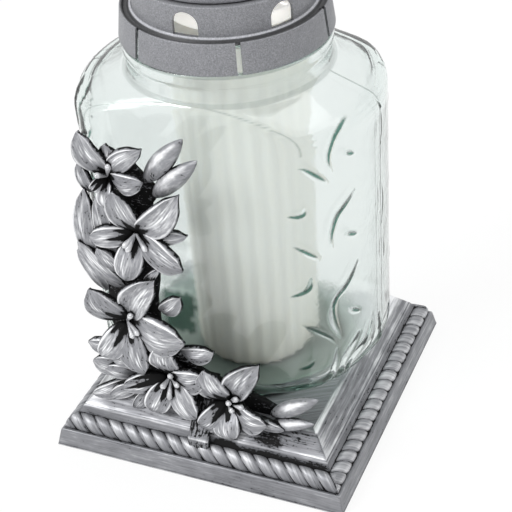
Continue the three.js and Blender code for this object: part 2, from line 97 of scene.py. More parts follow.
def addNode(owner, kind, settings=None, links=None):
    # adds to a material or the world; a linked node gives its first output
    node = owner.node_tree.nodes.new("ShaderNode" + kind)
    for key, value in (settings or {}).items():
        if key == "stops":
            setRamp(node.color_ramp.elements, value)
        elif isinstance(key, str) and hasattr(node, key):
            setattr(node, key, value)
        else:
            node.inputs[key].default_value = hexColour(value) if isinstance(value, str) else value
    for key, source in (links or {}).items():
        owner.node_tree.links.new(getattr(source, "outputs", [source])[0], node.inputs[key])
    return node


def setRamp(elements, stops):  # places with hex colours or grey levels
    while len(elements) < len(stops):
        elements.new(0.5)
    for element, (position, tone) in zip(elements, stops):
        element.position = position
        element.color = hexColour(tone) if isinstance(tone, str) else (tone, tone, tone, 1.0)


def finished(material, **parts):
    addNode(material, "OutputMaterial", None, parts)
    return material


# Silver paint brushed over black ABS: brighter on crests and edges, black left in the hollows; the per-point
# paint level also carries painted highlights and painted shade
silverPaint = {
    "black": "#060607",
    "bright": "#f6f7f9",
    "metallic": 0.34,
    "gloss": (0.7, 0.42),  # roughness of the bare plastic and of the paint
    "bristleMm": 0.6,
    "strokeMm": 1.7,
    "patchMm": 9.0,
    "ragMm": 0.9,
    "hollowMm": 4.0,
}


def brushedSilverAbs(name, dark, silver, stretch, wear, hollow, rag):
    s = silverPaint
    material, add = newMaterial(name)
    paint, worn, grain = (add("Attribute", {"attribute_name": key}) for key in ("paint", "wear", "grain"))

    def noise(size, along, low, high, reach):
        # noise drawn out along the grain, from -reach to +reach
        place = add("VectorMath", {"operation": "MULTIPLY", 1: (along, 1.0, 1.0)},
                    {0: grain.outputs["Vector"]})
        pattern = add("TexNoise", {"Scale": 1 / (s[size] * mm), "Detail": 4.0, "Roughness": 0.6},
                      {"Vector": place})
        return add("MapRange", {"From Min": low, "From Max": high, "To Min": -reach, "To Max": reach},
                   {"Value": pattern})

    def plus(first, second):
        return add("Math", {"operation": "ADD"}, {0: first, 1: second})

    bristles = noise("bristleMm", stretch, 0.3, 0.7, wear)
    strokes = add("Math", {"operation": "MULTIPLY"},
                  {0: noise("strokeMm", stretch * 1.5, 0.36, 0.64, 1.0), 1: worn.outputs["Fac"]})
    fine = plus(bristles, strokes)
    level = plus(paint.outputs["Fac"], plus(fine, noise("patchMm", 0.6, 0.32, 0.68, wear)))
    cavity = add("AmbientOcclusion", {"samples": 8, "Distance": s["hollowMm"] * mm})
    dirt = add("MapRange", {"From Min": 0.15, "From Max": hollow, "To Min": -1.1, "To Max": 0.0},
               {"Value": cavity.outputs["AO"]})
    amount = plus(plus(level, dirt), noise("ragMm", 0.5, 0.3, 0.7, rag))
    mask = add("MapRange", {"From Min": 0.02, "From Max": 0.14}, {"Value": amount})
    tone = add("ValToRGB", {"stops": [(0.1, dark), (0.5, silver), (1.0, s["bright"])]}, {"Fac": level})
    colour = add("Mix", {"data_type": "RGBA", 6: s["black"]}, {"Factor": mask, 7: tone})  # 6 and 7: A, B
    metal = add("Math", {"operation": "MULTIPLY", 1: s["metallic"]}, {0: mask})
    gloss = add("MapRange", {"To Min": s["gloss"][0], "To Max": s["gloss"][1]}, {"Value": mask})
    bump = add("Bump", {"Strength": 0.35, "Distance": 0.12 * mm}, {"Height": fine})
    shader = add("BsdfPrincipled", {"Specular IOR Level": 0.22},
                 {"Base Color": colour.outputs[2], "Metallic": metal, "Roughness": gloss, "Normal": bump})
    return finished(material, Surface=shader)


# Clear soda glass, pressed in a mould: bright fire-polished outside, rippled and faintly hazy inside,
# green where the eye looks along the wall
sodaGlass = {
    "ior": 1.52,
    "tint": "#fafbfb",
    "absorb": "#00bc9e",
    "density": 11.0,
    "rippleMm": 14.0,
    "curlMm": 4.5,
    "haze": 0.13,
    "deep": "#1d483b",
    "bloom": "#aebab3",
    "bloomShare": 0.45,  # on the floor of the jar
}


def pressedGlass():
    g = sodaGlass
    material, add = newMaterial("pressedGlass")
    place = add("TexCoord").outputs["Object"]
    inside, thick = (add("Attribute", {"attribute_name": key}).outputs["Fac"] for key in ("inside", "thick"))
    ripple = add("TexNoise", {"Scale": 1 / (g["rippleMm"] * mm), "Detail": 1.0}, {"Vector": place})
    curl = add("TexNoise", {"Scale": 1 / (g["curlMm"] * mm), "Detail": 2.0, "Distortion": 1.5},
               {"Vector": place})
    slow = add("Bump", {"Strength": 0.3, "Distance": 0.4 * mm}, {"Height": ripple})
    bump = add("Bump", {"Strength": 0.2, "Distance": 0.15 * mm}, {"Height": curl, "Normal": slow})
    gloss = add("MapRange", {"To Min": 0.01, "To Max": g["haze"]}, {"Value": inside})
    tone = add("ValToRGB", {"stops": [(0.0, g["tint"]), (1.0, g["deep"])]}, {"Fac": thick})
    glass = add("BsdfPrincipled", {"IOR": g["ior"], "Transmission Weight": 1.0},
                {"Base Color": tone, "Normal": bump, "Roughness": gloss})
    dull = add("MapRange", {"From Min": 1.0, "From Max": 2.0, "To Max": g["bloomShare"]}, {"Value": inside})
    bloom = add("BsdfDiffuse", {"Color": g["bloom"]})
    body = add("MixShader", None, {0: dull, 1: glass, 2: bloom})
    ray = add("LightPath")  # shadow and bounced light pass straight through
    passing = add("Math", {"operation": "MAXIMUM"},
                  {0: ray.outputs["Is Shadow Ray"], 1: ray.outputs["Is Diffuse Ray"]})
    clear = add("BsdfTransparent", {"Color": "#fbfdfc"})
    mix = add("MixShader", None, {0: passing, 1: body, 2: clear})
    depth = add("VolumeAbsorption", {"Color": g["absorb"], "Density": g["density"]})
    return finished(material, Surface=mix, Volume=depth)


# Polystyrene moulded with a metallic grey pigment: a fine speckle of light and dark flakes,
# painted shade in the grooves, and a painted dark band of shade on the ledge round a painted highlight on the
# drum's foot
speckledGrey = {
    "flakeMm": 0.5,
    "cloudMm": 7.0,
    "flakes": [(0.3, "#6e6f73"), (0.5, "#838488"), (0.7, "#9a9b9f")],
    # reach of the painted shade in the grooves
    "grooveMm": 3.5,
    "ledgeMm": (210.0, 1.1),  # height, and reach above and below it
    "bandMm": (39.0, 44.0),  # radii
    # painted shade across the ledge and a painted highlight on the drum's foot bead
    "band": [(0.0, 0.5), (0.05, 1.0), (0.14, 1.0), (0.22, 0.12), (0.84, 0.12), (0.92, 0.5)],
}


def speckledPolystyrene():
    s = speckledGrey
    material, add = newMaterial("speckledPolystyrene")
    place = add("TexCoord").outputs["Object"]
    flakes = add("TexNoise", {"Scale": 1 / (s["flakeMm"] * mm), "Detail": 2.0, "Roughness": 0.7},
                 {"Vector": place})
    cloud = add("TexNoise", {"Scale": 1 / (s["cloudMm"] * mm), "Detail": 2.0}, {"Vector": place})
    tone = add("ValToRGB", {"stops": s["flakes"]}, {"Fac": flakes})
    shade = add("MapRange", {"To Min": 0.9, "To Max": 1.1}, {"Value": cloud})
    # painted shade in the grooves, from ambient occlusion
    groove = add("AmbientOcclusion", {"samples": 8, "Distance": s["grooveMm"] * mm})
    grooveShade = add("MapRange", {"From Min": 0.3, "From Max": 0.75, "To Min": 0.3},
               {"Value": groove.outputs["AO"]})
    # painted ledge shade and drum foot highlight, by radius at the ledge's height
    flat = add("VectorMath", {"operation": "MULTIPLY", 1: (1.0, 1.0, 0.0)}, {0: place})
    radius = add("VectorMath", {"operation": "LENGTH"}, {0: flat}).outputs["Value"]
    across = add("MapRange", {"From Min": s["bandMm"][0] * mm, "From Max": s["bandMm"][1] * mm},
                 {"Value": radius})
    band = add("ValToRGB", {"stops": s["band"]}, {"Fac": across})
    height = add("SeparateXYZ", None, {"Vector": place}).outputs["Z"]
    ledge = add("Math", {"operation": "COMPARE", 1: s["ledgeMm"][0] * mm, 2: s["ledgeMm"][1] * mm},
                {0: height})
    ledgeLightAndShade = add("MapRange", {"To Min": 0.5}, {"Value": ledge, "To Max": band})
    for more in (grooveShade, ledgeLightAndShade):
        shade = add("Math", {"operation": "MULTIPLY"}, {0: shade, 1: more})
    doubled = add("Math", {"operation": "MULTIPLY", 1: 2.0}, {0: shade})  # the middle of the painted ledge shade is 0.5
    colour = add("VectorMath", {"operation": "SCALE"}, {0: tone, "Scale": doubled})
    bump = add("Bump", {"Strength": 0.25, "Distance": 0.08 * mm}, {"Height": flakes})
    shader = add("BsdfPrincipled", {"Metallic": 0.25, "Roughness": 0.5},
                 {"Base Color": colour, "Normal": bump})
    return finished(material, Surface=shader)


# Thin blow-moulded polyethylene: milky, with a painted glow that grows with height, and painted shade darker
# towards the foot
polyethylene = {
    "cloudMm": 7.0,
    "scatterMm": 3.0,
    "top": "#efebe6",
    "paintedGlowMm": (30.0, 120.0),  # heights from which and up to which the painted glow grows
}


def polyethyleneWithPaintedLight(name, foot, tint, low, high, glow):
    p = polyethylene
    material, add = newMaterial(name)
    place = add("TexCoord").outputs["Object"]
    drawn = add("Mapping", {"Scale": (1.0, 1.0, 0.12)}, {"Vector": place})
    cloud = add("TexNoise", {"Scale": 1 / (p["cloudMm"] * mm), "Detail": 2.0}, {"Vector": drawn})
    height = add("SeparateXYZ", None, {"Vector": place}).outputs["Z"]
    # painted shade: darker towards the foot, lighter towards the top
    level = add("MapRange", {"From Min": low * mm, "From Max": high * mm}, {"Value": height})
    share = add("Math", {"operation": "MULTIPLY_ADD", 1: 0.25}, {0: cloud, 2: level})
    tone = add("ValToRGB", {"stops": [(0.1, foot), (0.45, tint), (1.0, p["top"])]}, {"Fac": share})
    dim, full = (reach * mm for reach in p["paintedGlowMm"])
    # painted glow: emission that stands in for light, strongest on the lid
    light = add("MapRange", {"From Min": dim, "From Max": full, "To Max": glow}, {"Value": height})
    shader = add("BsdfPrincipled", {
        "Roughness": 0.38,
        "Subsurface Weight": 0.6,
        "Subsurface Radius": (1.0, 0.95, 0.85),
        "Subsurface Scale": p["scatterMm"] * mm,
        "Emission Color": tint,
    }, {"Base Color": tone, "Emission Strength": light})
    return finished(material, Surface=shader)


# Poured paraffin: dense white with a waxy sheen and a slight bloom
def pouredParaffin():
    material, add = newMaterial("pouredParaffin")
    place = add("TexCoord").outputs["Object"]
    bloom = add("TexNoise", {"Scale": 1 / (6 * mm), "Detail": 4.0}, {"Vector": place})
    tone = add("ValToRGB", {"stops": [(0.3, "#e9e6da"), (0.7, "#f5f3ea")]}, {"Fac": bloom})
    shader = add("BsdfPrincipled", {"Roughness": 0.45, "Subsurface Weight": 0.4, "Subsurface Scale": 2 * mm},
                 {"Base Color": tone})
    return finished(material, Surface=shader)


# Braided cotton: plaits as a fine slanted wave
def braidedCotton():
    material, add = newMaterial("braidedCotton")
    place = add("TexCoord").outputs["Object"]
    plait = add("TexWave", {"Scale": 1 / (4 * mm), "Distortion": 2.0, "bands_direction": "DIAGONAL"},
                {"Vector": place}).outputs["Fac"]
    tone = add("ValToRGB", {"stops": [(0.2, "#c9c2ae"), (0.8, "#efeadb")]}, {"Fac": plait})
    bump = add("Bump", {"Strength": 0.6, "Distance": 0.2 * mm}, {"Height": plait})
    shader = add("BsdfPrincipled", {"Roughness": 0.9}, {"Base Color": tone, "Normal": bump})
    return finished(material, Surface=shader)


# Tin plate, stamped: bright metal with faint rolling marks
def stampedTin():
    material, add = newMaterial("stampedTin")
    place = add("TexCoord").outputs["Object"]
    rolled = add("Mapping", {"Scale": (1.0, 30.0, 1.0)}, {"Vector": place})
    marks = add("TexNoise", {"Scale": 1 / (5 * mm)}, {"Vector": rolled})
    gloss = add("MapRange", {"To Min": 0.22, "To Max": 0.4}, {"Value": marks})
    shader = add("BsdfPrincipled", {"Base Color": "#c6c7c9", "Metallic": 1.0}, {"Roughness": gloss})
    return finished(material, Surface=shader)


plinthSilver = brushedSilverAbs("plinthSilver", "#55565a", "#8d8e92", 0.05, 0.1, 0.5, 0.3)
garlandSilver = brushedSilverAbs("garlandSilver", "#717276", "#97989c", 0.14, 0.11, 0.72, 0.46)
capPlastic = speckledPolystyrene()
jarGlass = pressedGlass()
cupPlastic = polyethyleneWithPaintedLight("polyethyleneWithPaintedLight", "#dad2c6", "#efe9e1", 20, 115, 0.06)
lidPlastic = polyethyleneWithPaintedLight("whitePolyethyleneWithPaintedGlow", "#eeeeec", "#f4f4f3", 0, 200, 0.56)
print("materials made")


# Mesh helpers, in millimetres

def newMesh(name, points, faces):
    mesh = bpy.data.meshes.new(name)
    mesh.from_pydata((np.asarray(points, dtype=float) * mm).tolist(), [], faces)
    return mesh


def editMesh(mesh, change):
    work = bmesh.new()
    work.from_mesh(mesh)
    change(work)
    work.to_mesh(mesh)
    work.free()


def faceOutwards(work):
    bmesh.ops.recalc_face_normals(work, faces=work.faces)


def weldMesh(mesh, distance):
    def change(work):
        bmesh.ops.remove_doubles(work, verts=work.verts, dist=distance * mm)
        faceOutwards(work)
    editMesh(mesh, change)


def sharpen(piece, degrees=40):
    # crisp shading where faces meet at more than this angle
    def change(work):
        for edge in work.edges:
            edge.smooth = not (len(edge.link_faces) == 2 and edge.calc_face_angle(0) > radians(degrees))
        for face in work.faces:
            face.smooth = True
    editMesh(piece.data, change)


def makePiece(name, points, faces, material, body, nodes, attributes=None):
    mesh = newMesh(name, points, faces)
    for key, values in (attributes or {}).items():
        kind, field = ("FLOAT", "value") if len(np.shape(values)) == 1 else ("FLOAT_VECTOR", "vector")
        data = mesh.attributes.new(key, kind, "POINT")
        data.data.foreach_set(field, np.asarray(values, dtype=np.float32).ravel())
    mesh.update()
    piece = addObject(name, mesh)
    mesh.materials.append(material)
    editMesh(mesh, faceOutwards)
    for polygon in mesh.polygons:
        polygon.use_smooth = True
    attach(piece, body)
    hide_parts(*nodes)
    return piece


def polar(reach, angle, z):
    return (reach * cos(angle), reach * sin(angle), z)


def turned(x, y, z, turn):  # turned about Z
    return (x * cos(turn) - y * sin(turn), x * sin(turn) + y * cos(turn), z)


def shifted(faces, base):  # the same faces on points that start at base
    return [tuple(base + i for i in face) for face in faces]


def ringFaces(rings, count, closeRound=True):
    faces = []
    for r in range(rings - 1):
        for k in range(count if closeRound else count - 1):
            nxt = (k + 1) % count
            faces.append((r * count + k, r * count + nxt, (r + 1) * count + nxt, (r + 1) * count + k))
    return faces


def tubeFaces(rings, count):  # rings with both ends closed
    last = (rings - 1) * count
    return ringFaces(rings, count) + [tuple(range(count)), tuple(last + k for k in range(count))]


def prismFaces(count):  # two outlines of count points, one behind the other
    faces = [tuple(range(count)), tuple(count + i for i in reversed(range(count)))]
    return faces + [(i, (i + 1) % count, count + (i + 1) % count, count + i) for i in range(count)]


def revolve(profile, count, closed=True):
    # points and faces of a [radius, height] section turned about Z
    points = [polar(r, a, z) for r, z in profile for a in np.arange(count) * 2 * pi / count]
    if not closed:
        return points, tubeFaces(len(profile), count)
    last = (len(profile) - 1) * count
    closing = [(last + k, last + (k + 1) % count, (k + 1) % count, k) for k in range(count)]
    return points, ringFaces(len(profile), count) + closing


def softCorners(profile, radius, closed=False, steps=3):
    # rounds each corner of a [radius, height] profile with a short arc
    out = []
    count = len(profile)
    for i, here in enumerate(profile):
        if not closed and i in (0, count - 1):
            out.append(tuple(here))
            continue
        a, b, c = (Vector(profile[(i + j) % count]) for j in (-1, 0, 1))
        reach = min(radius, (a - b).length * 0.45, (c - b).length * 0.45)
        start, end = b + (a - b).normalized() * reach, b + (c - b).normalized() * reach
        for s in range(steps + 1):
            t = s / steps
            out.append(tuple(start * (1 - t) ** 2 + b * 2 * t * (1 - t) + end * t * t))
    return out


class Relief:  # gathers one brushed moulding, in rows of point, paint level with painted highlights and shade, wear and grain
    def __init__(self):
        self.rows, self.faces = [], []

    def add(self, rows, faces):
        self.faces += shifted(faces, len(self.rows))
        self.rows += rows

    def addTube(self, stations, corners, at):  # at gives the row of a place on the tube
        rows = [at(s, 2 * pi * c / corners) for s in range(stations + 1) for c in range(corners)]
        self.add(rows, tubeFaces(stations + 1, corners))

    def finish(self, name, material, node, slot):
        points, *brushed = zip(*self.rows)
        attributes = dict(zip(("paint", "wear", "grain"), brushed))
        return makePiece(name, points, self.faces, material, "stand", [node], attributes)


# Plinth
plinth = {
    "rim": 70.0,
    "draft": 2.0,
    "rimHeight": 9.0,
    "land": 1.2,
    "ropeWidth": 5.8,
    "ropeHeight": 7.0,
    "bead": 1.7,
    "pitch": 7.37,
    "slant": 10.0,
    "shoulderInset": 2.1,
    "shoulderRise": 3.4,
    "platform": 53.0,
    "height": 28.0,
    "wall": 2.4,
    "columns": 141,
    "slopeFoot": 19.6,
    "wear": {"slope": 0.16, "foot": 0.07, "under": 0.1, "rope": 0.08},  # how much the strokes vary
}
plinth["step"] = plinth["rim"] - plinth["land"] - plinth["ropeWidth"]
plinth["foot"] = plinth["rimHeight"] + plinth["ropeHeight"]


def plinthProfile():
    p = plinth
    rim, low, step, foot = p["rim"], p["rimHeight"], p["step"], p["foot"]
    under = p["bead"] * 0.62
    width, rise = p["ropeWidth"] - under, p["ropeHeight"] - under
    shoulder = step - p["shoulderInset"]
    parts = [  # near a corner of the section: out, up, how much paint lies there
        (rim + p["draft"], 0.0, [(-0.1, 0.0, 0.2), (0.0, 0.35, 0.7), (-0.15, 0.75, 0.15), (-0.3, 1.3, 0.42)]),
        (rim, low, [(0.25, -1.1, 0.45), (0.1, -0.45, 0.5), (-0.15, -0.05, 0.55), (-0.5, 0.0, 0.5),
                    (-p["land"] * 0.95, 0.0, 0.3)]),
        (step, low, [(width, -0.1, -0.4), (width * 0.8, rise * 0.6, -0.3)]),
        (step, foot, [(width * 0.4, -under - 0.5, -0.3), (0.05, -under, -0.3), (0.0, -0.3, 0.1),
                      (-0.25, 0.4, 0.33)]),
        (shoulder, foot + p["shoulderRise"], [
            (0.6, -1.0, 0.36), (0.35, -0.5, 0.66), (0.1, -0.1, 0.6), (-0.15, 0.15, 0.3), (-0.45, 0.42, 0.7),
            (-0.9, 0.85, 0.55), (-1.8, 1.95, 0.48)]),
        (p["platform"], p["height"], [(0.9, -0.98, 0.5), (0.3, -0.25, 0.9), (-0.3, 0.0, 0.8),
                                      (-2.0, 0.0, 0.7)]),
    ]
    return [(half + out, z + up, level) for half, z, rows in parts for out, up, level in rows]


# Where the brush left more or less silver, with painted shade under the garland and buds and a painted
# highlight on the slope: side, place along it, half width, from and to height, change
brushedPatchesAndPaintedLight = [
    # painted highlight at the left end of the front slope
    (0, -62, 14, 19, 29, 0.25),
    # painted shade on the front slope under the garland
    (0, -30, 34, 19.6, 22, -0.14),
    (0, -30, 36, 22, 27, -0.32),
    (0, -45, 30, 8.5, 9.2, -0.15),
    (0, 45, 40, 8.5, 9.2, -0.12),
    (0, 34, 32, 15, 16.8, -0.6),
    (0, 34, 32, 16.8, 18.2, -0.12),
    (0, 12, 6, 15, 22, -0.5),
    # painted shadow on the front slope under the right buds
    (0, 30, 9, 19.8, 23.5, -0.5),
    (0, 42, 20, 18.4, 19.7, -0.12),
    (0, 48, 16, 20.4, 23, -0.2),
    (0, 46, 20, 23, 29, -0.42),
    (0, 30, 22, 0, 8, -0.08),
    (1, -64, 10, 19.6, 29, 0.15),
    (1, 0, 80, 18.4, 20.2, -0.12),
    (1, 0, 80, 8.4, 9.2, -0.12),
    (1, 0, 80, 15.4, 16.4, -0.3),
    (1, 0, 80, 16.4, 18.2, 0.2),
    (1, -22, 30, 21, 29, -0.12),
    (1, 44, 36, 22, 29, 0.5),
]


def brushAndPaintedLightChange(side, along, height):
    change = 0.0
    for where, middle, reach, low, high, more in brushedPatchesAndPaintedLight:
        if where == side and low <= height <= high:
            change += more * max(0.0, 1 - ((along - middle) / reach) ** 2) ** 0.5
    return change


def addStrand(relief, side, i, middle):
    # one strand of the rope, laid over its quarter round
    p = plinth
    width, rise = p["ropeWidth"] - p["bead"], p["ropeHeight"] - p["bead"]
    stations, corners = 16, 18

    def at(s, around):
        share = 0.01 + 0.98 * s / stations
        swell = sin(pi * share) ** 0.28
        angle = radians(-16 + 120 * share)
        flat = copysign(abs(cos(around)) ** 0.62, cos(around))
        crest = copysign(abs(sin(around)) ** 0.8, sin(around))
        lift = p["bead"] * swell * crest
        aside = p["pitch"] * 0.52 * swell ** 0.25 * flat
        out = p["step"] + (width + lift) * cos(angle)
        along = max(-out, min(out, middle + p["slant"] * (0.5 - share) + aside))
        up = p["rimHeight"] + (rise + lift) * sin(angle)
        # painted shade at the low end of the front strands, painted light at the low end of the other sides'
        # strands
        lowEndLightAndShade = (-0.35 if side == 0 else 0.5) * max(0.0, 1 - share / 0.45)
        highEnd = -0.3 * max(0.0, (share - 0.7) / 0.3)
        level = -0.2 + 0.75 * max(0.0, crest) ** 0.35 - 0.08 * flat + lowEndLightAndShade + highEnd
        grain = (share * 9 * mm, aside * mm, side * 0.04 + i * 0.02)
        return turned(along, -out, up, side * pi / 2), level, p["wear"]["rope"], grain

    relief.addTube(stations, corners, at)


def buildPlinth():
    p, relief = plinth, Relief()
    profile = plinthProfile()
    run = np.concatenate([[0], np.cumsum([dist(a[:2], b[:2]) for a, b in zip(profile, profile[1:])])])
    for side in range(4):
        rows = []
        for (half, z, level), length in zip(profile, run):
            wear = p["wear"]["slope" if z > p["slopeFoot"] else "foot"]
            for along in np.linspace(-1, 1, p["columns"]) * half:
                rows.append((turned(along, -half, z, side * pi / 2), level + brushAndPaintedLightChange(side, along, z), wear,
                             (along * mm, length * mm, side * 0.4)))
        relief.add(rows, ringFaces(len(profile), p["columns"], False))
    wall, outer, low = p["wall"], p["rim"] + p["draft"], p["rimHeight"] - p["wall"]
    step, platform, top = p["step"] - wall, p["platform"], p["height"]
    rings = [(platform - 2, top), (outer - 0.1, 0.0), (outer - wall, 0.0), (p["rim"] - wall, low),
             (step, low), (step, p["foot"] - wall), (platform - wall, top - wall)]
    square = [(x * half, y * half, z) for half, z in rings for x, y in ((-1, -1), (1, -1), (1, 1), (-1, 1))]
    rows = [((x, y, z), 0.8 * (z == top), p["wear"]["under"], (x * mm, y * mm, 2.0)) for x, y, z in square]
    first, last = (0, 1, 2, 3), tuple(len(rows) - 4 + i for i in range(4))
    relief.add(rows, [first] + shifted(ringFaces(len(rings) - 1, 4), 4) + [last])
    count = int(2 * p["rim"] / p["pitch"]) + 2
    for side in range(4):
        for i in range(count):
            addStrand(relief, side, i, (i - (count - 1) / 2) * p["pitch"])
    piece = relief.finish("plinth_moulding", plinthSilver, "base_plinth", "brushed_silver_plinth")
    weldMesh(piece.data, 0.02)


buildPlinth()
print("plinth built")


# Lily garland: places on its face plane, seen from the front, x and z in millimetres
garland = {
    "plateBack": -46.3,
    "plateThickness": 2.6,
    "faceDepth": 8.0,
    "throatDepth": 2.8,
    "thickness": 1.4,
    "wear": 0.13,
    "petals": [
        ((-34.5, 149), (-43, 172), 6.8, 3.5, 5, -0.8, 0.3),
        ((-34, 149.5), (-14.5, 168), 5, 3, 4.5, 0.7, 0.4),
        ((-34, 148), (-15, 152.5), 5.7, 3.5, 5, 1, 0.2),
        ((-35, 147.5), (-34, 136), 3.6, 2, 4.5, 0.7, 0.1),
        ((-35.5, 149), (-39, 145), 2.9, 3, 6, 0.5, 0),
        ((-25, 122), (-30.5, 145), 7.3, 5.5, 5, 0.6, 0.3),
        ((-24.5, 122), (0.5, 149), 7, 5, 5.2, -0.8, 0.3),
        ((-24, 119.5), (-1, 110), 7.8, 4, 5.2, 0.7, 0.3),
        ((-25.5, 119), (-30, 99), 7, 4.5, 5, 0.7, 0.3),
        ((-26, 120), (-44.5, 119), 5.9, 5.5, 5, 0.6, 0.3),
        ((-36.5, 71.5), (-49, 90), 8.8, 5.5, 5.4, 0.6, 0.3),
        ((-34, 73), (-15.5, 102.5), 7.6, 4.5, 5.4, -0.8, 0.3),
        ((-33, 72), (-4, 70), 11, 4, 5.4, 1, 0.3),
        ((-34.5, 68.5), (-26.5, 47), 8.2, 4.5, 5.4, 0.7, 0.3),
        ((-36, 69), (-47.5, 52), 6.8, 5.5, 5.2, 0.6, 0.3),
        ((-17, 45), (-16, 65.5), 7.6, 3.5, 4.4, 0.5, 0.6),
        ((-15.5, 43.5), (4, 52.5), 7.3, 5.5, 4.6, 0.5, 0.2),
        ((-15.5, 41), (-2, 26.5), 7.4, 3.5, 5.8, 0.7, 0.3),
        ((-17.5, 40.5), (-25, 25), 6.8, 4.5, 5.6, 0.6, 0.3),
        ((-18.5, 42), (-39, 34.5), 5.6, 12, 4.4, 0.5, 0.3),
        ((10.5, 36), (3.5, 56.5), 8, 5.5, 4.8, 0.6, 0.3),
        ((12.5, 37.5), (31, 67), 7, 4, 5.2, -0.7, 0.3),
        ((13.5, 34.5), (33, 32.5), 7.4, 4.5, 5.6, 0.6, 0.3),
        ((11.5, 33.5), (15, 19.5), 7.2, 3, 6.2, 0.5, 0.3),
        ((10.5, 34.5), (-0.5, 23), 6.4, 4.5, 5.8, 0.8, 0.3),
    ],
    "leaves": [
        ((-48, 98.5), (-45, 142.5), 5.5),
        ((-35, 89), (-52, 114), 5.3),
        ((-43.5, 85.5), (-53, 109), 4),
        ((-44, 137.5), (-46, 155.5), 3.3),
        ((-18, 117.5), (1.5, 127.5), 3.8),
        ((-18, 79.5), (-5, 93.6), 4.6),
        ((-10, 58), (8.5, 66.5), 5.3),
        ((-40, 55), (-55, 57), 5),
        ((-40, 42), (-54, 46), 6.3),
        ((-34.5, 39), (-48.5, 43), 5),
        ((-40, 33), (-57, 24.5), 4.6),
        ((-28.5, 32), (-35.5, 22), 3.5),
        ((-33, 32.5), (-47.5, 26), 4.1),
        ((-24, 94), (-13.5, 107.5), 2.2),
        ((22, 27), (40.5, 30), 3.5),
        ((-10, 27), (-1.5, 21), 5),
        ((-32, 150), (-32, 166.5), 5.2),
        ((-34, 53), (-43.5, 48.5), 4.7),
        ((-38.5, 104), (-39.5, 140), 5),
        ((-36, 96), (-43, 112), 5.5),
    ],
    "buds": [
        ((-19, 147), (5, 176.5), 4.7),
        ((-16, 140), (10.5, 167.5), 4.5),
        ((31, 31), (58, 54.5), 4.1),
        ((29, 25), (55.5, 39.5), 3.5),
    ],
    "stamens": [  # throat, then where each anther ends
        ((-34.5, 149), [(-30, 158.5), (-37, 152)]),
        ((-24.5, 121.5), [(-27, 115), (-17, 117.5), (-28.5, 117)]),
        ((-34.5, 72), [(-29, 80.5), (-29.5, 67), (-26.5, 69.5)]),
        ((-16, 43.5), [(-13, 49.5), (-18.5, 40.5), (-15, 34.5), (-9.5, 44)]),
        ((12, 36), [(15, 41), (19.5, 45), (16.5, 36), (22, 40)]),
    ],
    "plate": [
        (-25, 151), (-19, 144.5), (-14, 140), (-19, 133), (-22, 118), (-19, 104), (-20, 92),
        (-22, 82), (-22, 68), (-18, 57), (-10, 49), (0, 44), (12, 40), (26, 36), (34, 32),
        (32, 27), (-30, 29), (-41, 40), (-46, 60), (-46, 88), (-43, 96), (-39, 106),
        (-39, 120), (-38, 130), (-43, 136), (-44, 148), (-40, 154), (-28, 155),
    ],
}
garland["plateFront"] = garland["plateBack"] - garland["plateThickness"]
garland["faceY"] = garland["plateFront"] - garland["faceDepth"]


def bell(x, middle, width):  # 1 at the middle, fading on both sides
    return exp(-((x - middle) / width) ** 2)


